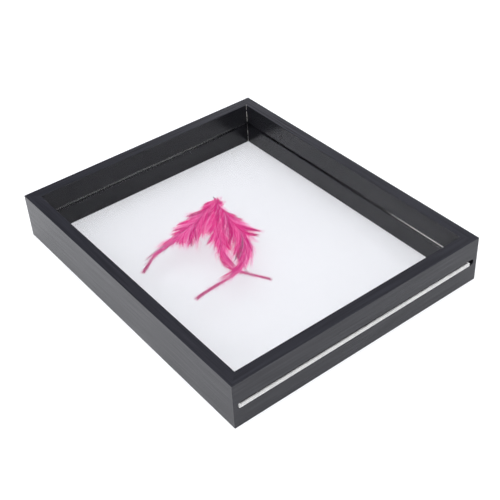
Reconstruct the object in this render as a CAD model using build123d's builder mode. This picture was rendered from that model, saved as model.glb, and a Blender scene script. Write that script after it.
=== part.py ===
"""Display case: a mitred black wooden frame that holds a specimen between two clear panes.

The four rails are mitred, glued and pinned from below with V-nails. A stopped groove runs round the
inside of three of them, and a taller slot with round ends is routed right through the front rail, so
both panes slide in and out there and stand a little proud of it. Three dyed feathers lie between them.

Millimetres. The origin is the middle of the underside, +Z is up, and the slotted rail is at -Y.
"""
from build123d import *
import math
import os

os.makedirs("parts", exist_ok=True)

# Frame
frame_width = 200.0
frame_length = 241.0
frame_height = 34.5
rail_width = 8.5
arris = 0.2

# Groove and slot for the panes, which share one ceiling
groove_ceiling = 19.0
groove_height = 3.4
groove_depth = 5.0
slot_height = 4.8
slot_length = 193.8

# Panes
pane_thickness = 0.8
pane_width = 188.8
pane_length = 235.0
pane_shift = -1.9
pane_proud = 1.0
pane_chamfer = 0.2
slide_clearance = 0.04
specimen_gap = 0.6

# V-nails, each bent from one strip and driven across a mitre from below
nail_sheet = 0.4
nail_height = 10.0
nail_leg = 4.4
nail_hook = 0.9
nail_bend = 0.5
nail_inset = 3.4
nail_depth = 0.3

# Feathers
quill_width = 0.7
bare_quill = 0.05
fluff_end = 0.56
fluff_half_width = 12.0
fluff_roundness = 0.6
tail_half_width = 1.1
barb_angle = 32.0
barb_pitch = 4.4
notch_ratio = 0.5
feather_layers = 3
layer_play = 0.01

half_width = frame_width / 2
half_length = frame_length / 2
groove_middle = groove_ceiling - groove_height / 2
slot_middle = groove_ceiling - slot_height / 2
inner_half_width = half_width - rail_width
inner_half_length = half_length - rail_width
lower_pane_floor = groove_ceiling - groove_height + slide_clearance
upper_pane_floor = lower_pane_floor + pane_thickness + specimen_gap
pane_front = -half_length - pane_proud
layer_height = specimen_gap / feather_layers
feather_sheet = layer_height - 2 * layer_play
corners = [(-1, -1), (1, -1), (1, 1), (-1, 1)]


def mitre_plane(corner):
    """The 45-degree plane through one outside corner, facing the side rail."""
    side, end = corner
    return Plane(origin=(side * half_width, end * half_length, 0), z_dir=(side, -end, 0))


def make_nails(bottom, top):
    """Four V-nails. Each has its bend on the mitre, a leg along each rail and a hook on each leg."""
    with BuildPart() as nails:
        for side, end in corners:
            bend_x = side * (half_width - nail_inset)
            bend_y = end * (half_length - nail_inset)
            leg_x = bend_x - side * nail_leg
            leg_y = bend_y - end * nail_leg
            with BuildSketch(Plane.XY.offset(bottom)):
                with BuildLine():
                    FilletPolyline(
                        (leg_x, bend_y + end * nail_hook),
                        (leg_x, bend_y),
                        (bend_x, bend_y),
                        (bend_x, leg_y),
                        (bend_x + side * nail_hook, leg_y),
                        radius=nail_bend,
                    )
                trace(line_width=nail_sheet)
            extrude(amount=top - bottom)
    return nails


# The kerfs that the V-nails cut as they are driven in
kerfs = make_nails(0, nail_depth + nail_height)

# The cutter's path: one slot with round ends, right through the front of the frame
with BuildPart() as slot_cut:
    with BuildSketch(Plane.XZ.offset(half_length)):
        with Locations((0, slot_middle)):
            SlotOverall(slot_length, slot_height)
    extrude(amount=-rail_width)


def make_rail(section_plane, run, groove_side, mitres, keep):
    """One rail: its section is drawn across the rail, run out, mitred, routed and kerfed.

    groove_side is +1 or -1 where the groove opens along the section's x axis, and 0 for no groove.
    """
    with BuildPart() as rail:
        with BuildSketch(section_plane):
            with Locations((0, frame_height / 2)):
                Rectangle(rail_width, frame_height)
        extrude(amount=run / 2, both=True)
        fillet(rail.edges(), radius=arris)
        if groove_side:
            with BuildSketch(section_plane):
                with Locations((groove_side * (rail_width - groove_depth) / 2, groove_middle)):
                    Rectangle(groove_depth, groove_height)
            extrude(amount=run / 2, both=True, mode=Mode.SUBTRACT)
        for corner in mitres:
            split(bisect_by=mitre_plane(corner), keep=keep)
        add(slot_cut.part, mode=Mode.SUBTRACT)
        add(kerfs.part, mode=Mode.SUBTRACT)
    return rail


# Rails. The front one has no groove, because the slot goes right through it.
end_middle = half_length - rail_width / 2
side_middle = half_width - rail_width / 2
front_plane = Plane(origin=(0, -end_middle, 0), x_dir=(0, 1, 0), z_dir=(1, 0, 0))
back_plane = Plane(origin=(0, end_middle, 0), x_dir=(0, 1, 0), z_dir=(1, 0, 0))
left_plane = Plane(origin=(-side_middle, 0, 0), x_dir=(1, 0, 0), z_dir=(0, -1, 0))
right_plane = Plane(origin=(side_middle, 0, 0), x_dir=(1, 0, 0), z_dir=(0, -1, 0))

rail_front = make_rail(front_plane, frame_width, 0, corners[0:2], Keep.BOTTOM)
rail_back = make_rail(back_plane, frame_width, -1, corners[2:4], Keep.BOTTOM)
rail_left = make_rail(left_plane, frame_length, 1, corners[0::3], Keep.TOP)
rail_right = make_rail(right_plane, frame_length, -1, corners[1:3], Keep.TOP)

# V-nails, driven a little below the underside
corner_nails = make_nails(nail_depth, nail_depth + nail_height)


def make_pane(bottom):
    """One clear sheet with its sharp edges scraped off, lying in the grooves."""
    with BuildPart() as pane:
        with BuildSketch(Plane.XY.offset(bottom)):
            with Locations((pane_shift, pane_front + pane_length / 2)):
                Rectangle(pane_width, pane_length)
        extrude(amount=pane_thickness)
        chamfer(pane.edges(), length=pane_chamfer)
    return pane


lower_pane = make_pane(lower_pane_floor)
upper_pane = make_pane(upper_pane_floor)


def vane_half_width(fraction):
    """Half the vane's width at a fraction of the shaft: a full fluffy body, then a stringy tail."""
    body = math.sin(math.pi * min(fraction / fluff_end, 1.0)) ** fluff_roundness
    return max(fluff_half_width * body, tail_half_width)


def vane_edge(shaft, turn):
    """One edge of the vane: barb tips and notches by turns, all swept towards the feather's tip."""
    points = []
    steps = 2 * round(shaft.length / barb_pitch)
    for step in range(steps):
        fraction = bare_quill + (1 - bare_quill) * step / steps
        reach = vane_half_width(fraction) / math.sin(math.radians(barb_angle))
        if step % 2 == 0:
            reach = notch_ratio * reach
        points.append(shaft @ fraction + reach * (shaft % fraction).rotate(Axis.Z, turn))
    return points


def make_feather(layer, shaft_points):
    """One flat feather about a curved shaft, with a bare quill end and tufts of barbs both sides."""
    bottom = lower_pane_floor + pane_thickness + layer * layer_height + layer_play
    with BuildPart() as feather:
        with BuildSketch(Plane.XY.offset(bottom)):
            with BuildLine():
                shaft = Spline(*shaft_points, mode=Mode.PRIVATE)
                quill_side = quill_width / 2 * (shaft % 0).rotate(Axis.Z, 90)
                left_edge = vane_edge(shaft, barb_angle)
                right_edge = vane_edge(shaft, -barb_angle)
                Polyline(
                    shaft @ 0 + quill_side,
                    *left_edge,
                    shaft @ 1,
                    *reversed(right_edge),
                    shaft @ 0 - quill_side,
                    close=True,
                )
            make_face()
        extrude(amount=feather_sheet)
    return feather


# Feathers, laid with their quills together and their tails spread
feather_left = make_feather(
    0,
    [(12.2, 50.0), (-11.0, 34.7), (-39.5, 25.4), (-59.9, 20.7), (-74.0, 12.3)],
)
feather_middle = make_feather(
    1,
    [(11.9, 45.2), (-5.3, 17.1), (-20.0, -1.2), (-25.7, -18.6), (-21.9, -30.9), (-13.1, -47.3)],
)
feather_right = make_feather(
    2,
    [(11.5, 42.5), (1.9, 8.9), (-8.5, -14.9), (-25.5, -26.0), (-45.0, -28.9), (-63.0, -32.5)],
)

pieces = {
    "rail_front": rail_front,
    "rail_back": rail_back,
    "rail_left": rail_left,
    "rail_right": rail_right,
    "corner_nails": corner_nails,
    "lower_pane": lower_pane,
    "upper_pane": upper_pane,
    "feather_left": feather_left,
    "feather_middle": feather_middle,
    "feather_right": feather_right,
}
for name, piece in pieces.items():
    piece.part.label = name
    export_step(piece.part, f"parts/{name}.step")
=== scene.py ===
"""Looks of a small display case: a mitred black frame, two clear panes in its groove, three dyed feathers.

Lengths are written in millimetres and multiplied by MM where they reach Blender, which works in metres.
The origin is the middle of the underside, +Z is up, and the slotted rail is at -Y.
"""

import math

import bpy
import numpy as np
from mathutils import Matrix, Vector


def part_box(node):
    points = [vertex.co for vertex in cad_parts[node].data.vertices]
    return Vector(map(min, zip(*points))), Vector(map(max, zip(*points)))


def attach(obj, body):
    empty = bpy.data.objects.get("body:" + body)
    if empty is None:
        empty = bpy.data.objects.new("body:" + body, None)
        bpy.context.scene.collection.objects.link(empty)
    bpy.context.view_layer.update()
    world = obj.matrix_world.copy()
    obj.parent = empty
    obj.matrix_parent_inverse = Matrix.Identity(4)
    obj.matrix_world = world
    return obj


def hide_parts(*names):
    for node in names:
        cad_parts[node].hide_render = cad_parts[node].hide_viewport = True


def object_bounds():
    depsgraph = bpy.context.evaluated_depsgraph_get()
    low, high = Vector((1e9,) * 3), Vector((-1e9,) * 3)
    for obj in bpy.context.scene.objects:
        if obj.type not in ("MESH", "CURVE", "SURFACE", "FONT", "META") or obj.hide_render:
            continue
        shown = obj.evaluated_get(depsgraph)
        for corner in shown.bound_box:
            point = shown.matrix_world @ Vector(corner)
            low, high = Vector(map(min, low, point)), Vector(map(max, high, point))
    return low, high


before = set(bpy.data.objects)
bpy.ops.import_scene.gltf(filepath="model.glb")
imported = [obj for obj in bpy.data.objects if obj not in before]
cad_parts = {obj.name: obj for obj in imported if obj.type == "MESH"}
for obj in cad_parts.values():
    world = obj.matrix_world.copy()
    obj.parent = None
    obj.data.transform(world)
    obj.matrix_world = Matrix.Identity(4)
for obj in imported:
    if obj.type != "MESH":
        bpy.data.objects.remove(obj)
cad_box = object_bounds()

MM = 0.001

# The outside of the wooden frame, and how wide its rails are
HALF_WIDTH = cad_box[1][0] / MM
HALF_LENGTH = cad_box[1][1] / MM
HEIGHT = cad_box[1][2] / MM
RAIL_WIDTH = (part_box("rail_right")[1].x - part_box("rail_right")[0].x) / MM

# The panes' edges, which are in line with each other. The feathers lie between BED and CEILING.
PANE_LEFT, PANE_FRONT = [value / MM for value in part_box("lower_pane")[0].xy]
PANE_RIGHT, PANE_BACK, BED = [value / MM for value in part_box("lower_pane")[1]]
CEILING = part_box("upper_pane")[0].z / MM
PANE_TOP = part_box("upper_pane")[1].z / MM


# ---------------------------------------------------------------- helpers


def colour(code):
    """An sRGB hex code, such as "#1A1A20", as Blender's linear red, green, blue and alpha."""
    parts = [int(code[i : i + 2], 16) / 255 for i in (1, 3, 5)]
    return [p / 12.92 if p <= 0.04045 else ((p + 0.055) / 1.055) ** 2.4 for p in parts] + [1.0]


def add(tree, kind, sockets=None, **settings):
    """Adds a node. sockets gives an input's name or number its value, or the output that feeds it."""
    node = tree.nodes.new("ShaderNode" + kind)
    for name, value in settings.items():
        setattr(node, name, value)
    for key, value in (sockets or {}).items():
        if isinstance(value, bpy.types.NodeSocket):
            tree.links.new(value, node.inputs[key])
        else:
            node.inputs[key].default_value = value
    return node


def new_material(name):
    """An empty node material and its output node."""
    material = bpy.data.materials.new(name)
    material.use_nodes = True
    material.node_tree.nodes.clear()
    return material, material.node_tree, add(material.node_tree, "OutputMaterial")


def ramp(tree, factor, stops):
    """A colour ramp on factor, from a list of places and hex codes."""
    node = add(tree, "ValToRGB", {0: factor})
    elements = node.color_ramp.elements
    while len(elements) < len(stops):
        elements.new(0.5)
    for element, (place, code) in zip(elements, stops):
        element.position = place
        element.color = colour(code)
    return node.outputs[0]


def cover(tree, share, under, over):
    """The colour under, covered with the colour over by share. Each is a hex code or an output."""
    under, over = [colour(tone) if isinstance(tone, str) else tone for tone in (under, over)]
    return add(tree, "Mix", {0: share, 6: under, 7: over}, data_type="RGBA").outputs[2]


def spread(tree, value, low, high, to_low, to_high, smooth=False):
    """Carries value from the range low..high to to_low..to_high, held inside it."""
    kind = "SMOOTHSTEP" if smooth else "LINEAR"
    sockets = {0: value, 1: low, 2: high, 3: to_low, 4: to_high}
    return add(tree, "MapRange", sockets, interpolation_type=kind).outputs[0]


def maths(tree, operation, a, b=0.0):
    """One Math node."""
    return add(tree, "Math", {0: a, 1: b}, operation=operation).outputs[0]


def distance(tree, value, place):
    """How far value is from place, either way."""
    return maths(tree, "ABSOLUTE", maths(tree, "SUBTRACT", value, place))


def streaks(tree, place, sizes, detail=3.0):
    """Noise stretched to the given lengths in millimetres along X, Y and Z. Most of it is from 0.3 to 0.7."""
    scale = [1 / (size * MM) for size in sizes]
    stretched = add(tree, "Mapping", {"Vector": place, "Scale": scale}).outputs[0]
    return add(tree, "TexNoise", {"Vector": stretched, "Scale": 1.0, "Detail": detail}).outputs[0]


def paint(node, material):
    """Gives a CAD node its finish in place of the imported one."""
    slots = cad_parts[node].data.materials
    slots.clear()
    slots.append(material)


# ---------------------------------------------------------------- materials

GRAIN_WIDTH = 0.9  # open pores of a light hardwood, drawn coarse enough to show through the paint
GRAIN_LENGTH = 45.0
PEEL = 1.1  # the dimples of sprayed paint
RELIEF = 0.02  # how deep the pores and the dimples are
SKIN = 0.35  # how near the outside of the frame a face has to be to count as outer, where it is painted lighter (painted light)
INSIDE_GLOSS = 0.24  # how strongly the lacquer over the paint shines inside, more than outside: inner and outer faces are lit and shaded copies of one paint
OUTSIDE_GLOSS = 0.14  # the same at most on the outside, between the pores
GLUE = 0.32  # how far the squeezed-out glue in the back right inner corner reaches over the paint
GLUE_BEAD = (1.5, 1.5, 2.5)  # how wide and how high the beads are that it dried in


def glue_line(tree, place, axes):
    """1 within a ragged reach of the upright edge in the back right inner corner, and 0 elsewhere.

    The line breaks off where the reach is below nothing."""
    corner = [(half - RAIL_WIDTH) * MM for half in (HALF_WIDTH, HALF_LENGTH)]
    squares = [maths(tree, "POWER", maths(tree, "SUBTRACT", axes[i], corner[i]), 2.0) for i in (0, 1)]
    from_corner = maths(tree, "SQRT", maths(tree, "ADD", *squares))
    ragged = spread(tree, streaks(tree, place, GLUE_BEAD), 0.42, 0.6, -0.3, 1.0)
    return maths(tree, "LESS_THAN", from_corner, maths(tree, "MULTIPLY", ragged, GLUE * MM))


def sprayed_black(name, along):
    """Wood sprayed black and lacquered satin, the outside painted lighter than the inside.

    The lighter outside and the stronger coat inside are painted light: lit and shaded copies of one paint.
    The grain shows as faint lines along the rail, glossier outside where the lacquer stayed on, and the paint
    has a fine orange peel. A ragged line of dried white glue stands in one inner corner."""
    material, tree, output = new_material(name)
    place = add(tree, "TexCoord").outputs["Object"]
    axes = add(tree, "SeparateXYZ", {0: place}).outputs
    sizes = [GRAIN_WIDTH, GRAIN_WIDTH, GRAIN_WIDTH]
    sizes["XY".index(along)] = GRAIN_LENGTH
    grain = streaks(tree, place, sizes, detail=4.0)
    peel = streaks(tree, place, [PEEL, PEEL, PEEL], detail=2.0)

    past_x = maths(tree, "GREATER_THAN", distance(tree, axes[0], 0.0), (HALF_WIDTH - SKIN) * MM)
    past_y = maths(tree, "GREATER_THAN", distance(tree, axes[1], 0.0), (HALF_LENGTH - SKIN) * MM)
    past_z = maths(tree, "GREATER_THAN", distance(tree, axes[2], HEIGHT / 2 * MM), (HEIGHT / 2 - SKIN) * MM)
    outside = maths(tree, "MAXIMUM", maths(tree, "MAXIMUM", past_x, past_y), past_z)

    # painted light: the outer faces are painted lighter than the inner ones, with the grain as faint lines on
    # them
    lit_outer_tone = ramp(tree, grain, [(0.35, "#202025"), (0.65, "#2A2A30")])
    tone = cover(tree, outside, "#18181C", lit_outer_tone)
    tone = cover(tree, glue_line(tree, place, axes), tone, "#BEBBB6")
    # painted light: the inner faces get a stronger coat than the outer ones, so that they show more
    # reflection
    lacquer = spread(tree, grain, 0.4, 0.6, 0.0, OUTSIDE_GLOSS)
    gloss = add(tree, "Mix", {0: outside, 2: INSIDE_GLOSS, 3: lacquer}).outputs[0]
    relief = maths(tree, "ADD", maths(tree, "MULTIPLY", grain, 0.7), maths(tree, "MULTIPLY", peel, 0.3))
    bump = add(tree, "Bump", {"Height": relief, "Strength": 0.35, "Distance": RELIEF * MM}).outputs[0]
    black = add(
        tree,
        "BsdfPrincipled",
        {
            "Base Color": tone,
            "Roughness": spread(tree, peel, 0.3, 0.7, 0.2, 0.27),
            "IOR": 1.45,
            "Specular IOR Level": 0.26,
            "Normal": bump,
            "Coat Weight": gloss,
            "Coat IOR": 1.5,
            "Coat Roughness": 0.15,
            "Coat Normal": bump,
        },
    )
    tree.links.new(black.outputs[0], output.inputs[0])
    return material


SAW_MARK = (0.35, 0.35, 3.0)  # the saw's upright marks on the edge, across and up
LIT_SIDES = (-90.0, -30.0)  # along the sides the sawn edge is painted frosty white, a painted glow, fully up to here, and left clear and dark from here on
GLOW = 0.16  # how strong the faint painted glow is that starts where the sides begin to darken, and where it ends
GLOW_END = 25.0
BACK_GLOW = 0.25  # how strongly the back edge is painted frosty white, a painted glow
BACK_EDGE = 1.0  # how near the back end a face has to be to count as that edge
SCUFF_WIDTH = 1.9  # how far in from the slotted end the faces are painted frosty, partly scuffs and partly painted glow, and how strongly at that end
SCUFF_STRENGTH = 0.8
RAG_SIZE = (1.5, 1.5, 3.0)  # how long the rags in the scuffs' border are, and how far they reach across it
RAG_REACH = 0.25
MARGIN = 1.2  # how far in from its sides the upper pane is painted frosty, a painted glow along the lit sides, and how soft the border is
MARGIN_BLUR = 0.1
BACK_MARGIN = 1.6  # the same painted glow from its back end, how strongly, and between which places along X that fades out
BACK_STRENGTH = 0.25
BACK_FADE = (40.0, 70.0)
UPPER_SHADE = 0.1  # how strongly painted shade greys the upper pane's front edge under the slot's ceiling, and how far back it goes
SHADE_REACH = 2.5
HAIR = 0.05  # a height too small to see, which keeps the test for the upper pane clear of its face


def edge_light(tree, along):
    """How strongly the sides, and then the whole edge, are painted frosty white at each place: a painted
    glow.
    """
    sides = spread(tree, along, LIT_SIDES[0] * MM, LIT_SIDES[1] * MM, 1.0, 0.0, smooth=True)
    glow = spread(tree, along, LIT_SIDES[0] * MM, GLOW_END * MM, GLOW, 0.0)
    sides = maths(tree, "MAXIMUM", sides, glow)
    at_back = maths(tree, "GREATER_THAN", along, (PANE_BACK - BACK_EDGE) * MM)
    return sides, maths(tree, "MAXIMUM", sides, maths(tree, "MULTIPLY", at_back, BACK_GLOW))


def worn_and_glowing_faces(tree, place, axes, sides):
    """How strongly the faces are painted frosty: all of them at the slotted end, partly scuffs and partly
    painted glow, and the uppermost along its margins, all painted glow.

    Its side margins are as frosty as the sides are painted bright, and its back margin fades out towards +X."""
    ragged = spread(tree, streaks(tree, place, RAG_SIZE), 0.3, 0.7, -RAG_REACH * MM, RAG_REACH * MM)
    from_front = maths(tree, "ADD", maths(tree, "SUBTRACT", axes[1], PANE_FRONT * MM), ragged)
    # the slotted end: partly scuffs, partly painted glow
    scuffed_and_glowing = spread(tree, from_front, 0.0, SCUFF_WIDTH * MM, SCUFF_STRENGTH, 0.0)

    # painted glow along the lit sides and the back of the upper face
    off_middle = distance(tree, axes[0], (PANE_LEFT + PANE_RIGHT) / 2 * MM)
    border = (PANE_RIGHT - PANE_LEFT) / 2 - MARGIN
    glow_margins = spread(tree, off_middle, (border - MARGIN_BLUR) * MM, (border + MARGIN_BLUR) * MM, 0.0, 1.0)
    glow_margins = maths(tree, "MULTIPLY", glow_margins, sides)
    behind = maths(tree, "GREATER_THAN", axes[1], (PANE_BACK - BACK_MARGIN) * MM)
    fade = spread(tree, axes[0], BACK_FADE[0] * MM, BACK_FADE[1] * MM, BACK_STRENGTH, 0.0)
    glow_margins = maths(tree, "MAXIMUM", glow_margins, maths(tree, "MULTIPLY", behind, fade))
    on_top = maths(tree, "GREATER_THAN", axes[2], (CEILING + PANE_TOP) / 2 * MM)
    return maths(tree, "MAXIMUM", scuffed_and_glowing, maths(tree, "MULTIPLY", glow_margins, on_top))


def clear_acrylic(name):
    """Cast acrylic sheet: both faces mirror smooth from the mould, and the edge sawn, white and frosty.

    The glow of light piped in from the slotted end is painted: the edge is frosty white at the front of the
    sides, fading out further back, with a faint painted glow left in the back one, and clear elsewhere. The
    faces near the slotted end are painted frosty, partly scuffs and partly painted glow, and so are margins
    of the upper face along the lit sides and the back, all painted glow. The upper pane's front edge is
    greyed a little, a painted shade under the slot's ceiling. Lamps reach what lies under the sheet, as they
    do through a real pane."""
    material, tree, output = new_material(name)
    place = add(tree, "TexCoord").outputs["Object"]
    axes = add(tree, "SeparateXYZ", {0: place}).outputs
    clear = add(tree, "BsdfPrincipled", {"Base Color": colour("#FDFDFE"), "Roughness": 0.0, "IOR": 1.49})
    clear.inputs["Transmission Weight"].default_value = 1.0

    marks = streaks(tree, place, SAW_MARK, detail=2.0)
    fresh = ramp(tree, marks, [(0.3, "#EEEDEB"), (0.7, "#FFFEFB")])
    # painted shade: the upper pane's front edge greyed where the slot's ceiling shades it
    upper = maths(tree, "GREATER_THAN", axes[2], (CEILING - HAIR) * MM)
    in_front = maths(tree, "LESS_THAN", axes[1], (PANE_FRONT + SHADE_REACH) * MM)
    ceiling_shade = maths(tree, "MULTIPLY", maths(tree, "MULTIPLY", upper, UPPER_SHADE), in_front)
    white = cover(tree, ceiling_shade, fresh, "#5A5A58")
    sawn = add(tree, "BsdfPrincipled", {"Base Color": white, "Roughness": 0.55})

    tilt = add(tree, "SeparateXYZ", {0: add(tree, "NewGeometry").outputs["True Normal"]}).outputs[2]
    upright = maths(tree, "LESS_THAN", maths(tree, "ABSOLUTE", tilt), 0.5)
    sides, lit = edge_light(tree, axes[1])
    worn_and_glowing = worn_and_glowing_faces(tree, place, axes, sides)
    # the sawn edge is frosty where its painted glow is lit, and the faces where they carry scuffs and painted
    # glow
    frost_and_glow = maths(tree, "MAXIMUM", maths(tree, "MULTIPLY", upright, lit), worn_and_glowing)
    sheet = add(tree, "MixShader", {0: frost_and_glow, 1: clear.outputs[0], 2: sawn.outputs[0]}).outputs[0]
    lets_by = add(tree, "BsdfTransparent", {"Color": [0.96, 0.962, 0.965, 1.0]}).outputs[0]
    for_lamps = add(tree, "LightPath").outputs["Is Shadow Ray"]
    surface = add(tree, "MixShader", {0: for_lamps, 1: sheet, 2: lets_by}).outputs[0]
    tree.links.new(surface, output.inputs[0])
    return material


ROLL_LINE = (0.2, 0.2, 6.0)  # the fine lines that the rolls leave on a strip, across and up


def steel_strip(name):
    """Cold-rolled steel strip, sheared and bent: bright, with fine lines along the roll."""
    material, tree, output = new_material(name)
    place = add(tree, "TexCoord").outputs["Object"]
    lines = streaks(tree, place, ROLL_LINE)
    tone = ramp(tree, lines, [(0.3, "#9A9C9E"), (0.7, "#C4C6C8")])
    roughness = spread(tree, lines, 0.3, 0.7, 0.28, 0.42)
    steel = add(tree, "BsdfPrincipled", {"Base Color": tone, "Metallic": 1.0, "Roughness": roughness})
    tree.links.new(steel.outputs[0], output.inputs[0])
    return material


# The tones of barbs, from a horn grey hair to the palest down, and of a shaft, from its bare end to its tip
BARB_TONES = [(0.0, "#806474"), (0.05, "#BE1476"), (0.42, "#E8148C"), (0.72, "#F834A2"), (1.0, "#FFA6E0")]
SHAFT_TONES = [(0.0, "#2E2630"), (0.04, "#4A2C40"), (0.08, "#C0347C"), (0.5, "#B23674"), (1.0, "#8C5A6E")]
BARB_TIP_DARKER = 0.08  # how far down those tones a barb goes at its tip
FEATHER_TIP_FADED = 0.6  # how much of the dye is gone from the barbs at a feather's tip
SEE_THROUGH = 0.3  # how much of the light that a barb scatters comes out behind it


def dyed_barbs(name):
    """Barbs and down dyed magenta: soft and a little see-through, and each its own tone.

    A barb darkens at its own tip, and the dye is fainter and greyer towards the tip of the feather."""
    material, tree, output = new_material(name)
    uv = add(tree, "UVMap", uv_map="along").outputs[0]
    along_shaft, along_barb, _ = add(tree, "SeparateXYZ", {0: uv}).outputs
    shade = add(tree, "Attribute", attribute_name="shade").outputs["Fac"]
    darker = spread(tree, along_barb, 0.7, 1.0, 0.0, BARB_TIP_DARKER, smooth=True)
    dye = ramp(tree, maths(tree, "SUBTRACT", shade, darker), BARB_TONES)
    gone = spread(tree, along_shaft, 0.55, 1.0, 0.0, FEATHER_TIP_FADED)
    faded = cover(tree, gone, dye, "#BE7090")
    front = add(tree, "BsdfPrincipled", {"Base Color": faded, "Roughness": 0.6, "Sheen Weight": 0.2})
    front.inputs["Specular IOR Level"].default_value = 0.2
    through = add(tree, "BsdfTranslucent", {"Color": faded})
    surface = add(tree, "MixShader", {0: SEE_THROUGH, 1: front.outputs[0], 2: through.outputs[0]}).outputs[0]
    tree.links.new(surface, output.inputs[0])
    return material


def dyed_quill(name):
    """Keratin shaft: dyed with the barbs, horn grey at its bare end and towards its tip."""
    material, tree, output = new_material(name)
    uv = add(tree, "UVMap", uv_map="along").outputs[0]
    along_shaft = add(tree, "SeparateXYZ", {0: uv}).outputs[0]
    tone = ramp(tree, along_shaft, SHAFT_TONES)
    horn = add(tree, "BsdfPrincipled", {"Base Color": tone, "Roughness": 0.35})
    tree.links.new(horn.outputs[0], output.inputs[0])
    return material


# ---------------------------------------------------------------- feathers

SHAFT_WIDTH = 0.7  # at the quill end, and at the tip
SHAFT_TIP_WIDTH = 0.12
SHAFT_THICKNESS = 0.1
SHAFT_TIP_THICKNESS = 0.06
SHAFT_END = 0.995  # where the tube stops, as a share of the line that it follows
SHAFT_RINGS = 60
SHAFT_SIDES = 8
SHAFT_DROP = 0.03  # how far the shaft lies below the middle of its barbs

BARB_RINGS = 6
BARB_SIDES = 4
BARB_THICKNESS = 0.045
BARB_TAPER = 0.65  # how much of its width a barb has lost at its tip
BARB_SCATTER = 0.05  # how far above or below the middle a barb may lie
BARB_ADVANCE = 0.06  # how far along the feather a barb reaches from its root, as a share, for its colour

# Locks. A number is a share of the lock's length where nothing else is said, and a SPREAD is a standard
# deviation.
LAST_LOCK_ROOT = 0.985  # how far out a lock's barbs may be rooted, as a share of the shaft
SHORT_REACH = 0.35  # the most of the shaft that a lock grows from, to either side of its root
ROOT_SPREAD = 0.3  # how far a barb's root strays from its place in that stretch, as a share of the stretch
STRANDS = 3  # how many strands a lock parts into
STRAND_SHORT = 0.16  # how much shorter than the first strand the others may be
STRAND_FAN = 0.25  # how far apart a strand's barbs end, as a share of how far the strands do
LOCK_FAN = 0.4  # how far to its own side an outer barb ends, as a share of the same
LOCK_BULGE = (-0.24, -0.02)  # how far a lock's middle stands off the straight line, towards the feather's tip
BULGE_SPREAD = 0.03
TONE_SPREAD = 0.16  # how much the tone varies from strand to strand, and from barb to barb in a strand
BARB_TONE_SPREAD = 0.1
THIN_PALER = 0.35  # how much further up the tones a lock is when it has next to no barbs
SWAY = 0.03

# Tails
LAST_TAIL_ROOT = 0.99  # how far out a tail's barbs may be rooted and may end, as shares of the shaft
TAIL_END = 1.008
TAIL_BULGE = 0.05
TAIL_SWAY = 0.02
LOOSE = 2.0  # how many times further off the loose hairs stand, and how many times fewer they are

# How each kind of lock grows, in lock_barbs' words
VANE = dict(count=24, reach=5.0, fan=0.8, fray=0.3, beyond=0.04)
WISPS = dict(count=16, reach=6.0, fan=2.6, fray=0.4, beyond=0.2)
DOWN = dict(count=44, reach=6.0, fan=1.6, fray=0.4, beyond=0.0)
STRAYS = dict(count=4, reach=2.0, fan=0.15, fray=0.1, beyond=0.0)


def smooth_line(points, per_span=60):
    """Even steps along a smooth line through a few points.

    Each span is a Catmull-Rom cubic: its slope at a point is half the step from the point before to the
    point after. Returns how far along each step is, as a share, its place, and the length."""
    points = np.array(points, float)
    held = np.vstack([2 * points[0] - points[1], points, 2 * points[-1] - points[-2]])
    a, b, c, d = held[:-3, None], held[1:-2, None], held[2:-1, None], held[3:, None]
    t = np.linspace(0, 1, per_span, endpoint=False)[None, :, None]
    line = b + (c - a) * t / 2 + (a - 2.5 * b + 2 * c - d / 2) * t**2 + (1.5 * (b - c) + (d - a) / 2) * t**3
    line = np.vstack([line.reshape(-1, 2), points[-1]])
    run = np.append(0, np.cumsum(np.linalg.norm(np.diff(line, axis=0), axis=1)))
    share = np.linspace(0, 1, len(line))
    return share, np.column_stack([np.interp(share * run[-1], run, line[:, i]) for i in (0, 1)]), run[-1]


def left_of(way):
    """Each direction turned a quarter to the left."""
    return np.stack([-way[..., 1], way[..., 0]], axis=-1)


class Shaft:
    """A feather's shaft as a smooth line in the plane of the panes."""

    def __init__(self, points, bare):
        """bare is the share of the length, at the quill end, that carries no barbs."""
        self.share, self.line, self.length = smooth_line(points)
        self.bare = bare
        slope = np.gradient(self.line, axis=0)
        self.slope = slope / np.linalg.norm(slope, axis=1, keepdims=True)

    def heading(self, share):
        """The direction of growth at each share of the length."""
        return np.stack([np.interp(share, self.share, self.slope[:, i]) for i in (0, 1)], axis=-1)

    def place(self, share, aside=0.0):
        """The point at each share of the length, and aside to its left. Past the tip the line is straight."""
        share = np.asarray(share, float)
        on = np.stack([np.interp(share, self.share, self.line[:, i]) for i in (0, 1)], axis=-1)
        way = self.heading(share)
        past = np.clip(share - 1, 0, None)[..., None] * self.length
        return on + way * past + left_of(way) * np.asarray(aside)[..., None]


def barb_lines(draw, start, end, bulge, sway):
    """The middle lines of many barbs, from start to end: barbs x rings x 2.

    Each is a quadratic curve whose middle stands out to one side by a share, bulge, of its length. A slow
    sine wave that grows from the root sets it swaying, by up to a share, sway, of its length."""
    chord = end - start
    across = left_of(chord)
    middle = start + chord / 2 + across * bulge[:, None]
    t = np.linspace(0, 1, BARB_RINGS + 1)[None, :, None]
    line = start[:, None] * (1 - t) ** 2 + middle[:, None] * 2 * t * (1 - t) + end[:, None] * t**2
    count = len(start)
    wave = np.sin(t[..., 0] * draw.uniform(2, 6, (count, 1)) + draw.uniform(0, 2 * math.pi, (count, 1)))
    size = sway * draw.uniform(0, 1, (count, 1)) * t[..., 0]
    return line + across[:, None] * (wave * size)[..., None]


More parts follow.
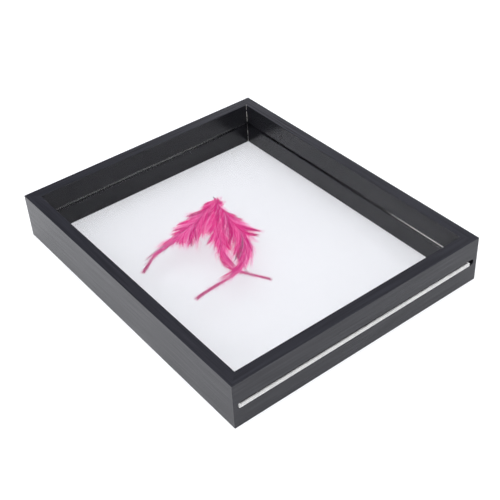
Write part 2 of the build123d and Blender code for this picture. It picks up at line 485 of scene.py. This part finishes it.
def lock_barbs(draw, shaft, locks, count, reach, fan, fray, beyond):
    """The barbs of a vane's locks: their middle lines, their roots along the shaft and their tones.

    A lock is (root share, tip x, tip y, fullness), with count barbs at fullness 1. They leave the shaft
    from a stretch of reach millimetres either side of the root, closer for a short lock, and draw together
    into strands that flick outward to the tip. fan is how far apart the strands end, fray how much of their
    length the outer barbs stop short, and beyond how far they run past the tip. Thin locks are paler."""
    table = np.array([lock if len(lock) == 4 else (*lock, 1.0) for lock in locks])
    which = np.repeat(np.arange(len(table)), np.rint(count * table[:, 3]).astype(int))
    share, tips = table[which, 0], table[which, 1:3]
    many = len(which)
    chord = tips - shaft.place(share)
    size = np.linalg.norm(chord, axis=1)
    way = chord / size[:, None]
    side = np.sign(np.sum(left_of(shaft.heading(share)) * way, axis=1))
    off_root = draw.uniform(-1, 1, many)
    close = np.minimum(reach, SHORT_REACH * size) / shaft.length
    root = np.clip(share + (off_root + draw.normal(0, ROOT_SPREAD, many)) * close, shaft.bare, LAST_LOCK_ROOT)
    strand = draw.integers(0, STRANDS, many)
    per_strand = (len(table), STRANDS)
    apart = (draw.normal(0, 1, per_strand) * fan)[which, strand] + draw.normal(0, STRAND_FAN * fan, many)
    aside = side * (LOCK_FAN * fan * off_root + apart)
    short = (draw.uniform(0, STRAND_SHORT, per_strand) * (np.arange(STRANDS) > 0))[which, strand] - beyond
    short = short + fray * np.abs(off_root) ** 1.6 * draw.uniform(0.1, 1, many)
    end = tips - left_of(way) * aside[:, None] - way * (size * short)[:, None]
    bulge = side * (draw.uniform(*LOCK_BULGE, len(table))[which] + draw.normal(0, BULGE_SPREAD, many))
    tone = draw.normal(0, TONE_SPREAD, per_strand)[which, strand] + draw.normal(0, BARB_TONE_SPREAD, many)
    tone += THIN_PALER * np.clip(1 - table[which, 3], 0, None)
    return barb_lines(draw, shaft.place(root), end, bulge, SWAY), root, tone


def tail_barbs(draw, shaft, start, stand_off, lean, count, loose=1.0):
    """Short barbs that lie close along the stringy tail: their middle lines, their roots and their tones.

    Each is rooted at random from start outward, on either side. Its tip is a random share of stand_off
    millimetres off the shaft, falling to half of that at the end, and about lean millimetres further out.
    loose is how many times further off they stand, and how many times fewer they are."""
    many = round(count / loose)
    root = draw.uniform(start, LAST_TAIL_ROOT, many)
    side = draw.choice([-1, 1], many)
    out = draw.uniform(0.1, 1.0, many)
    far = stand_off * loose * out * (1.1 - 0.55 * (root - start) / (1 - start))
    forward = np.minimum(lean * draw.uniform(0.6, 1.2, many) / shaft.length, TAIL_END - root)
    tips = shaft.place(root + forward, side * far)
    line = barb_lines(draw, shaft.place(root), tips, side * TAIL_BULGE, TAIL_SWAY)
    return line, root, draw.normal(0, TONE_SPREAD, many)


def barb_tubes(path, width, height):
    """Many thin closed spindles at once.

    path is barbs x rings x 2, the middle line of each; width is how wide it is at each ring, and height how
    high it lies. Each ring is a diamond: left, top, right and bottom of the middle line. One face closes
    the first ring, and the last is one point. Returns the points, the faces and the points to a barb."""
    step = np.gradient(path, axis=1)
    step /= np.linalg.norm(step, axis=2, keepdims=True) + 1e-9
    aside = left_of(step) * width[..., None] / 2
    flat = np.stack([path + aside, path, path - aside, path], axis=2)
    rise = height[:, None, None] + np.array([0, 1, 0, -1]) * BARB_THICKNESS / 2
    rings = np.concatenate([flat, np.broadcast_to(rise[..., None], (*flat.shape[:3], 1))], axis=3)
    barbs, count = path.shape[:2]
    body = rings[:, :-1].reshape(barbs, -1, 3)
    tip = np.concatenate([path[:, -1], height[:, None]], axis=1)[:, None]
    places = np.concatenate([body, tip], axis=1)
    per_barb = places.shape[1]

    sides = np.arange(BARB_SIDES)
    ring, corner = np.meshgrid(np.arange(count - 2), sides, indexing="ij")
    ring, corner = ring.ravel() * BARB_SIDES, corner.ravel()
    next_ring = ring + BARB_SIDES
    onward = (corner + 1) % BARB_SIDES
    quads = np.column_stack([ring + corner, next_ring + corner, next_ring + onward, ring + onward])
    quads = np.vstack([sides[None], quads])
    last = (count - 2) * BARB_SIDES
    point = np.full(BARB_SIDES, per_barb - 1)
    tris = np.column_stack([last + sides, point, last + (sides + 1) % BARB_SIDES])
    starts = (np.arange(barbs) * per_barb)[:, None, None]
    faces = (quads + starts).reshape(-1, 4).tolist() + (tris + starts).reshape(-1, 3).tolist()
    return places.reshape(-1, 3), faces, per_barb


def shaft_tube(shaft, height):
    """The shaft as a flattened tube: an ellipse carried along its line, and thinner towards the tip.

    Returns the points, the faces, and each point's share of the length."""
    share = np.linspace(0, SHAFT_END, SHAFT_RINGS)
    turn = np.arange(SHAFT_SIDES) * 2 * math.pi / SHAFT_SIDES
    taper = (1 - share) ** 0.8
    wide = (SHAFT_TIP_WIDTH + (SHAFT_WIDTH - SHAFT_TIP_WIDTH) * taper) / 2
    thick = (SHAFT_TIP_THICKNESS + (SHAFT_THICKNESS - SHAFT_TIP_THICKNESS) * taper) / 2
    flat = shaft.place(share[:, None] + 0 * turn, wide[:, None] * np.cos(turn))
    high = height + thick[:, None] * np.sin(turn)
    places = np.concatenate([flat, high[..., None]], axis=2).reshape(-1, 3)
    ring, side = np.meshgrid(np.arange(SHAFT_RINGS - 1), np.arange(SHAFT_SIDES), indexing="ij")
    ring, side = ring.ravel() * SHAFT_SIDES, side.ravel()
    onward = (side + 1) % SHAFT_SIDES
    next_ring = ring + SHAFT_SIDES
    faces = np.column_stack([ring + side, ring + onward, next_ring + onward, next_ring + side])
    caps = [list(range(SHAFT_SIDES))[::-1], list(range(len(places) - SHAFT_SIDES, len(places)))]
    return places, faces.tolist() + caps, np.repeat(share, SHAFT_SIDES)


def make_feather(name, height, points, bare, locks, down, strays, tail, seed):
    """One feather, with its barbs about height: a shaft, and six kinds of barb along it.

    The full locks of its fluffy part and the wisps that run out past them share their roots and tips. Then
    come finer, paler down, a few stray barbs, the tail and the loose hairs about that. Each kind is given
    as its barbs, the least and the greatest width of one, and its tone, where 0 is horn grey and 1 pale."""
    draw = np.random.default_rng(seed)
    shaft = Shaft(points, bare)
    kinds = [
        (lock_barbs(draw, shaft, locks, **VANE), (0.22, 0.42), 0.35),
        (lock_barbs(draw, shaft, locks, **WISPS), (0.09, 0.15), 0.9),
        (lock_barbs(draw, shaft, down, **DOWN), (0.09, 0.15), 0.88),
        (lock_barbs(draw, shaft, strays, **STRAYS), (0.14, 0.2), 0.0),
        (tail_barbs(draw, shaft, *tail), (0.12, 0.22), 0.45),
        (tail_barbs(draw, shaft, *tail, loose=LOOSE), (0.08, 0.12), 0.95),
    ]
    path = np.concatenate([lines for (lines, _, _), _, _ in kinds])
    root = np.concatenate([roots for (_, roots, _), _, _ in kinds])
    shade = np.concatenate([tones + middle for (_, _, tones), _, middle in kinds])
    wide = np.concatenate([draw.uniform(*widths, len(roots)) for (_, roots, _), widths, _ in kinds])
    t = np.linspace(0, 1, BARB_RINGS + 1)
    width = wide[:, None] * (1 - BARB_TAPER * t**2.2)
    barb_height = height + draw.uniform(-BARB_SCATTER, BARB_SCATTER, len(root))
    places, faces, per_barb = barb_tubes(path, width, barb_height)
    tube, tube_faces, tube_share = shaft_tube(shaft, height - SHAFT_DROP)
    materials = [0] * len(faces) + [1] * len(tube_faces)
    faces += [[corner + len(places) for corner in face] for face in tube_faces]

    mesh = bpy.data.meshes.new(name)
    mesh.from_pydata((np.vstack([places, tube]) * MM).tolist(), [], faces)
    mesh.polygons.foreach_set("material_index", materials)
    corner = np.zeros(len(mesh.loops), int)
    mesh.loops.foreach_get("vertex_index", corner)
    ring_share = np.append(np.repeat(t[:-1], BARB_SIDES), 1.0)
    along_barb = np.tile(ring_share, len(root))
    along_shaft = np.append(np.repeat(root, per_barb) + along_barb * BARB_ADVANCE, tube_share)
    uv = mesh.uv_layers.new(name="along")
    along = np.column_stack([along_shaft, np.append(along_barb, 0 * tube_share)])
    uv.data.foreach_set("uv", along[corner].ravel())
    tone = mesh.attributes.new("shade", "FLOAT", "POINT")
    tone.data.foreach_set("value", np.clip(np.append(np.repeat(shade, per_barb), 0 * tube_share + 0.5), 0, 1))
    mesh.update()
    feather = bpy.data.objects.new(name, mesh)
    bpy.context.scene.collection.objects.link(feather)
    return feather


# ---------------------------------------------------------------- the object

black_x = sprayed_black("black_sprayed_rail_along_x", "X")
black_y = sprayed_black("black_sprayed_rail_along_y", "Y")
acrylic = clear_acrylic("clear_cast_acrylic")
paint("rail_front", black_x)
paint("rail_back", black_x)
paint("rail_left", black_y)
paint("rail_right", black_y)
paint("lower_pane", acrylic)
paint("upper_pane", acrylic)
paint("corner_nails", steel_strip("cold_rolled_steel_strip"))

barbs = dyed_barbs("magenta_dyed_feather_barbs")
quill = dyed_quill("magenta_dyed_quill_horn")

# The feathers, lowest first, each under the node that it stands for. Places are in millimetres.
# points: the line of the shaft, from its quill end
# bare: the share of the shaft, at its quill end, that carries no barbs
# locks, down, strays: the share of the shaft at the root, the tip's x and y, and the fullness, 1 if left out
# tail: the share of the shaft where it starts, how far its barbs stand off, how far they lean, how many
FEATHERS = {
    "feather_left": dict(
        bare=0.045,
        points=[
            (12.3, 50.6), (10.2, 46.0), (-1.1, 39.8), (-13.3, 35.0), (-24.2, 31.7), (-34.9, 28.0),
            (-42.7, 26.2), (-49.4, 24.7), (-55.4, 23.3), (-60.9, 20.6), (-66.9, 16.9), (-73.2, 12.4),
        ],
        locks=[
            (0.04, 6.9, 45.6, 0.7), (0.05, 3.6, 46.3, 1.0), (0.06, 0.1, 46.9, 1.0), (0.10, -4.0, 42.5, 0.9),
            (0.12, -8.5, 39.3, 0.9), (0.15, -13.5, 38.3, 0.9), (0.18, -17.1, 40.0, 0.8),
            (0.20, -17.8, 44.2, 1.2), (0.20, -18.7, 36.0, 1.2), (0.24, -24.1, 35.5, 1.1),
            (0.28, -28.6, 33.3, 1.1), (0.33, -33.8, 36.8, 1.6), (0.37, -36.9, 33.5, 1.2),
            (0.42, -40.9, 26.5, 1.1), (0.47, -44.9, 24.9, 0.9), (0.07, -13.5, 22.3, 1.2),
            (0.10, -17.5, 19.8, 1.2), (0.13, -21.1, 17.7, 1.2), (0.17, -26.4, 15.1, 1.3),
            (0.21, -30.7, 13.8, 1.2), (0.25, -34.9, 12.5, 1.2), (0.30, -35.6, 16.7, 0.9),
            (0.33, -37.6, 19.2, 0.9), (0.38, -40.8, 21.3, 0.9), (0.44, -43.9, 22.6, 0.8),
            (0.10, -3.5, 44.4, 0.8), (0.13, -10.8, 38.5, 0.8), (0.17, -15.0, 38.1, 0.7),
            (0.26, -26.3, 39.7, 1.3), (0.24, -25.5, 35.9, 0.5), (0.29, -29.2, 34.9, 0.8),
            (0.22, -33.5, 12.7, 0.9), (0.26, -35.8, 14.7, 0.8), (0.30, -37.7, 16.7, 0.7),
            (0.36, -40.1, 19.2, 0.7), (0.05, -3.5, 31.8, 1.0), (0.06, -8.8, 26.3, 1.0),
            (0.19, -18.1, 20.3, 1.0), (0.11, -17.5, 44.5, 1.0),
        ],
        down=[
            (0.19, -17.9, 43.7), (0.27, -26.8, 40.1), (0.28, -28.8, 37.9), (0.24, -31.9, 37.7),
            (0.26, -33.6, 37.1), (0.40, -40.7, 28.5), (0.46, -46.7, 26.5), (0.50, -51.5, 28.4),
            (0.20, -24.0, 16.6), (0.24, -32.7, 12.7), (0.27, -35.6, 16.7), (0.30, -38.2, 19.0),
            (0.34, -40.6, 20.9), (0.05, -2.6, 45.1), (0.12, -8.9, 41.2), (0.50, -49.5, 29.6),
            (0.52, -55.3, 26.9), (0.56, -60.3, 24.3), (0.60, -65.0, 22.1), (0.30, -34.2, 36.7),
            (0.34, -38.9, 30.6), (0.24, -29.4, 40.1),
        ],
        strays=[
            (0.18, -15.6, 45.2), (0.16, -25.8, 42.3), (0.62, -69.4, 20.8, 2.5), (0.60, -59.5, 22.9, 1.5),
            (0.42, -58.6, 17.6), (0.40, -54.3, 18.9),
        ],
        tail=(0.48, 2.4, 6.0, 340),
        seed=11,
    ),
    "feather_middle": dict(
        bare=0.004,
        points=[
            (10.3, 45.2), (2.9, 33.9), (-5.1, 20.8), (-12.5, 9.4), (-19.3, -0.6), (-24.4, -7.4),
            (-27.5, -14.2), (-27.6, -20.9), (-25.6, -26.5), (-22.4, -32.4), (-19.1, -38.8), (-16.1, -43.8),
            (-14.1, -48.3),
        ],
        locks=[
            (0.02, 5.7, 45.0, 0.7), (0.05, -2.5, 35.6, 0.9), (0.09, -9.6, 26.4, 1.1),
            (0.12, -14.6, 19.3, 1.1), (0.15, -19.3, 16.2, 0.8), (0.17, -16.2, 14.1, 1.0),
            (0.19, -19.0, 8.5, 1.3), (0.22, -23.6, 6.8, 0.9), (0.24, -21.1, 3.9, 1.2),
            (0.27, -22.9, -0.2, 0.8), (0.31, -24.9, -6.3, 0.7), (0.36, -27.1, -12.0, 0.6),
            (0.04, 7.2, 28.5, 1.0), (0.07, 2.3, 17.3, 1.1), (0.10, -1.9, 9.0, 1.1), (0.13, -6.1, 2.3, 1.1),
            (0.16, -9.1, -3.3, 1.2), (0.19, -11.9, -3.6, 1.3), (0.22, -15.8, -5.9, 1.2),
            (0.25, -19.7, -8.8, 0.3), (0.30, -23.6, -12.3, 0.2), (0.42, -25.7, -22.8, 0.9),
            (0.47, -24.6, -27.2, 0.9), (0.00, 8.0, 46.2, 0.9), (0.01, 4.5, 41.4, 0.6),
            (0.10, -12.6, 23.6, 0.7), (0.13, -18.2, 18.2, 0.6), (0.20, -23.1, 8.6, 0.7),
            (0.25, -22.8, 3.3, 0.5), (0.29, -24.4, -3.9, 0.5), (0.33, -26.6, -9.7, 0.4),
            (0.02, 1.0, 37.8, 0.9), (0.04, -5.0, 30.5, 0.9), (0.10, -14.4, 22.3, 1.0),
            (0.20, -15.6, -6.7, 1.5), (0.24, -18.3, -8.6, 0.4), (0.17, -14.4, -8.5, 1.2),
            (0.21, -13.9, -6.8, 1.5),
        ],
        down=[
            (0.13, -17.9, 18.6), (0.15, -21.3, 15.1), (0.20, -21.4, 10.5), (0.22, -23.3, 7.2),
            (0.26, -23.8, -0.9), (0.28, -26.8, -6.7), (0.31, -27.4, -10.3), (0.22, -15.4, -7.6, 0.9),
            (0.24, -18.1, -10.2, 0.6), (0.26, -21.5, -12.8, 0.6), (0.29, -23.7, -16.4, 0.6),
            (0.35, -24.6, -19.1, 0.4), (0.52, -25.3, -32.9), (0.20, -14.7, -8.9, 0.9),
        ],
        strays=[
            (0.22, -27.7, 7.4), (0.28, -27.3, -2.9), (0.50, -24.4, -42.2), (0.48, -25.9, -36.9),
            (0.30, -29.7, -11.1), (0.01, 6.7, 45.5),
        ],
        tail=(0.42, 2.4, 6.0, 360),
        seed=23,
    ),
    "feather_right": dict(
        bare=0.004,
        points=[
            (9.8, 43.1), (6.5, 29.1), (3.7, 14.6), (0.2, 1.7), (-5.4, -10.0), (-12.2, -18.7), (-19.3, -23.8),
            (-24.6, -27.3), (-32.2, -29.0), (-39.8, -29.5), (-47.9, -30.3), (-55.2, -30.6), (-62.2, -32.2),
        ],
        locks=[
            (0.00, 13.0, 44.8, 0.8), (0.01, 12.4, 39.8, 0.8), (0.02, 9.4, 35.4, 0.8), (0.03, 8.9, 30.1, 1.0),
            (0.08, 8.3, 23.6, 1.2), (0.11, 7.5, 17.3, 1.0), (0.10, 8.4, 12.7, 0.8), (0.12, 8.2, 9.6, 0.9),
            (0.20, 7.2, 1.6, 1.0), (0.25, 12.0, -4.3, 2.0), (0.30, 9.3, -8.4, 1.6), (0.20, 4.6, -2.2, 1.2),
            (0.24, 0.0, -7.5, 0.8), (0.26, -3.0, -10.7, 1.2), (0.28, -6.4, -14.1, 1.2),
            (0.32, -8.2, -19.6, 1.1), (0.35, -11.7, -21.4, 1.0), (0.38, -14.6, -24.4, 1.0),
            (0.42, -19.0, -26.0, 0.9), (0.03, 0.0, 31.8, 1.0), (0.05, -4.7, 22.0, 1.1),
            (0.08, -7.4, 13.8, 1.1), (0.10, -8.5, 6.6, 1.2), (0.14, -9.7, 1.0, 1.2), (0.18, -13.2, -5.3, 0.9),
            (0.34, -14.1, -8.7, 1.0), (0.36, -17.1, -14.4, 1.1), (0.38, -16.9, -16.8, 1.1),
            (0.41, -21.0, -20.4, 0.9), (0.43, -18.8, -21.6, 0.9), (0.50, -29.6, -28.1, 1.1),
            (0.53, -33.2, -27.9, 0.9), (0.57, -42.8, -27.3, 0.6), (0.00, 12.8, 48.4, 1.2),
            (0.00, 13.1, 44.1, 1.0), (0.00, 13.9, 41.1, 1.0), (0.01, 11.6, 37.0, 1.0),
            (0.11, 10.2, 19.1, 0.7), (0.13, 11.9, 12.7, 0.7), (0.15, 11.0, 7.6, 0.7), (0.17, 6.4, 2.3, 0.7),
            (0.20, 3.4, -5.4, 0.5), (0.24, -1.6, -9.0, 0.6), (0.28, -5.9, -13.8, 0.6),
            (0.33, -9.5, -22.7, 0.6), (0.36, -12.8, -24.0, 0.6), (0.40, -17.2, -26.2, 0.6),
            (0.16, -6.4, -0.4, 1.2), (0.18, -10.0, -4.8, 1.0), (0.33, -19.1, -16.3, 1.3),
            (0.36, -20.9, -20.3, 1.2), (0.34, -18.3, -17.0, 1.2),
        ],
        down=[
            (0.08, 10.5, 17.7), (0.10, 10.4, 10.8), (0.12, 9.2, 5.9), (0.14, 8.5, 0.5), (0.17, 12.4, -6.1),
            (0.20, 3.2, -6.7), (0.24, -0.8, -10.4), (0.28, -4.8, -16.2), (0.34, -12.6, -24.8),
            (0.38, -18.0, -27.4), (0.42, -21.2, -28.2), (0.20, -5.9, -1.7), (0.22, -9.7, -6.2),
            (0.24, -13.1, -10.3), (0.26, -18.1, -13.7), (0.30, -21.6, -19.0), (0.36, -21.2, -24.1),
            (0.02, 11.8, 36.8), (0.50, -27.3, -30.3),
        ],
        strays=[
            (0.07, 12.1, 20.3), (0.09, 12.2, 16.2), (0.11, 12.6, 10.6), (0.28, -2.1, -16.6),
            (0.30, -5.4, -22.2), (0.36, -11.6, -27.6, 0.5), (0.40, -18.7, -30.9, 0.5), (0.55, -22.6, -41.1),
            (0.01, 13.3, 45.5), (0.01, 12.5, 39.7), (0.20, 10.0, -14.1),
        ],
        tail=(0.46, 3.0, 6.0, 480),
        seed=37,
    ),
}
LAYER = (CEILING - BED) / len(FEATHERS)

for number, (node, growth) in enumerate(FEATHERS.items()):
    feather = make_feather("dyed_" + node, BED + LAYER * (number + 0.5), **growth)
    feather.data.materials.append(barbs)
    feather.data.materials.append(quill)
    feather.visible_shadow = False  # real down is so thin that most of the light gets past it
    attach(feather, "lower_pane")
    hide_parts(node)


# ---------------------------------------------------------------- stage, light and camera

TABLE_RADIUS = 1600.0
TABLE_SIDES = 64
TABLE_DROP = 0.05  # how far below the rails it lies, too little to see, so that no two faces coincide
TABLE_LIGHT = 0.49  # its own light, for the camera, mirrors and glass
FADE = (350.0, 1000.0)  # how far from the middle it starts to turn into the backdrop, and is all backdrop


def white_table():
    """A pale, flat, round table that keeps the object's shadow and fades into the white backdrop further out.

    It gives the camera, mirrors and glass a little light of its own, so that it clips to white where no
    shadow falls on it. None of that light reaches the object's colours."""
    material, tree, output = new_material("white_laminate_table")
    place = add(tree, "TexCoord").outputs["Object"]
    matt = add(tree, "BsdfDiffuse", {"Color": colour("#CACACB"), "Roughness": 0.0}).outputs[0]
    path = add(tree, "LightPath").outputs
    seen = maths(tree, "MAXIMUM", path["Is Camera Ray"], path["Is Glossy Ray"])
    seen = maths(tree, "MAXIMUM", seen, path["Is Transmission Ray"])
    strength = maths(tree, "MULTIPLY", seen, TABLE_LIGHT)
    glow = add(tree, "Emission", {"Color": colour("#FCFDFD"), "Strength": strength}).outputs[0]
    lit = add(tree, "AddShader", {0: matt, 1: glow}).outputs[0]
    backdrop = add(tree, "Emission", {"Color": colour("#FFFFFF"), "Strength": seen}).outputs[0]
    away = add(tree, "VectorMath", {0: place}, operation="LENGTH").outputs["Value"]
    fade = spread(tree, away, FADE[0] * MM, FADE[1] * MM, 0.0, 1.0, smooth=True)
    fade = maths(tree, "MULTIPLY", fade, seen)
    surface = add(tree, "MixShader", {0: fade, 1: lit, 2: backdrop}).outputs[0]
    tree.links.new(surface, output.inputs[0])

    mesh = bpy.data.meshes.new("table_top")
    turn = np.arange(TABLE_SIDES) * 2 * math.pi / TABLE_SIDES
    rim = np.column_stack([np.cos(turn), np.sin(turn), 0 * turn]) * TABLE_RADIUS * MM
    mesh.from_pydata(rim.tolist(), [], [list(range(TABLE_SIDES))])
    mesh.materials.append(material)
    table = bpy.data.objects.new("table_top", mesh)
    table.location.z = -TABLE_DROP * MM
    bpy.context.scene.collection.objects.link(table)


# The sky. A height in it is the sine of the angle above the table, so 0.5 is 30 degrees up. WALL_LIGHT is
# how bright the walls, and above 0.385 the ceiling, are at each height.
WALL_LEAN = (-0.35, 0, 1)  # the walls' top is some 40 degrees up at +X, 20 at the ends, and level at -X
WALL_LIGHT = [(0.0, 1.0), (0.25, 1.0), (0.33, 1.0), (0.36, 0.5), (0.385, 0.14), (0.5, 0.12), (1.0, 0.3)]
DARK_WALL = 0.3  # how much of the walls' light is left behind the back left corner
WALL_RIGHT = (0.27, 0.48)  # between which places along X the walls get it back, and along Y lose it
WALL_FRONT = (0.0, 0.5)
SOFTBOX = 2.8
SOFTBOX_HEIGHT = (0.74, 0.86)  # where it starts, and where it is at its brightest
WINDOW = 1.95
WINDOW_MIDDLE = (-0.8, -0.3, 0.52)
WINDOW_NEARNESS = (0.4, 0.8)  # the same for the window, as the cosine of the angle from its middle


def studio_sky():
    """The surroundings: white walls, a dim ceiling, a broad softbox overhead and a soft window to the left.

    The walls' heights are measured along WALL_LEAN, which leans to the left, so their top is lower there.
    Each place in the sky is as bright as the brightest of wall, softbox and window."""
    world = bpy.data.worlds.new("studio")
    bpy.context.scene.world = world
    world.use_nodes = True
    tree = world.node_tree
    tree.nodes.clear()
    direction = add(tree, "TexCoord").outputs["Generated"]
    axes = add(tree, "SeparateXYZ", {0: direction}).outputs

    height = add(tree, "VectorMath", {0: direction, 1: WALL_LEAN}, operation="DOT_PRODUCT").outputs["Value"]
    by_height = add(tree, "FloatCurve", {"Value": height})
    curve = by_height.mapping.curves[0]
    for place, light in WALL_LIGHT[1:-1]:
        curve.points.new(place, light)
    curve.points[0].location = WALL_LIGHT[0]
    curve.points[-1].location = WALL_LIGHT[-1]
    by_height.mapping.update()
    on_right = spread(tree, axes[0], *WALL_RIGHT, DARK_WALL, 1.0, smooth=True)
    in_front = spread(tree, axes[1], *WALL_FRONT, 1.0, 0.0, smooth=True)
    walls = maths(tree, "MULTIPLY", by_height.outputs[0], maths(tree, "MAXIMUM", on_right, in_front))

    softbox = spread(tree, axes[2], *SOFTBOX_HEIGHT, 0.0, SOFTBOX, smooth=True)
    near = add(tree, "VectorMath", {0: direction, 1: WINDOW_MIDDLE}, operation="DOT_PRODUCT").outputs["Value"]
    window = spread(tree, near, *WINDOW_NEARNESS, 0.0, WINDOW, smooth=True)
    strength = maths(tree, "MAXIMUM", maths(tree, "MAXIMUM", walls, softbox), window)
    background = add(tree, "Background", {"Color": colour("#F7F8FC"), "Strength": strength})
    add(tree, "OutputWorld", {0: background.outputs[0]})


white_table()
studio_sky()

CAMERA_PLACE = (-308.6, -433.1, 432.1)
CAMERA_TURN = (51.144, 2.689, -38.111)  # in degrees
CAMERA_LENS = 71.1
CAMERA_SENSOR = 36.0

camera_data = bpy.data.cameras.new("camera")
camera_data.lens = CAMERA_LENS
camera_data.sensor_width = CAMERA_SENSOR
camera = bpy.data.objects.new("camera", camera_data)
camera.location = [value * MM for value in CAMERA_PLACE]
camera.rotation_euler = [math.radians(value) for value in CAMERA_TURN]
bpy.context.scene.collection.objects.link(camera)
bpy.context.scene.camera = camera
bpy.context.scene.view_settings.view_transform = "Standard"
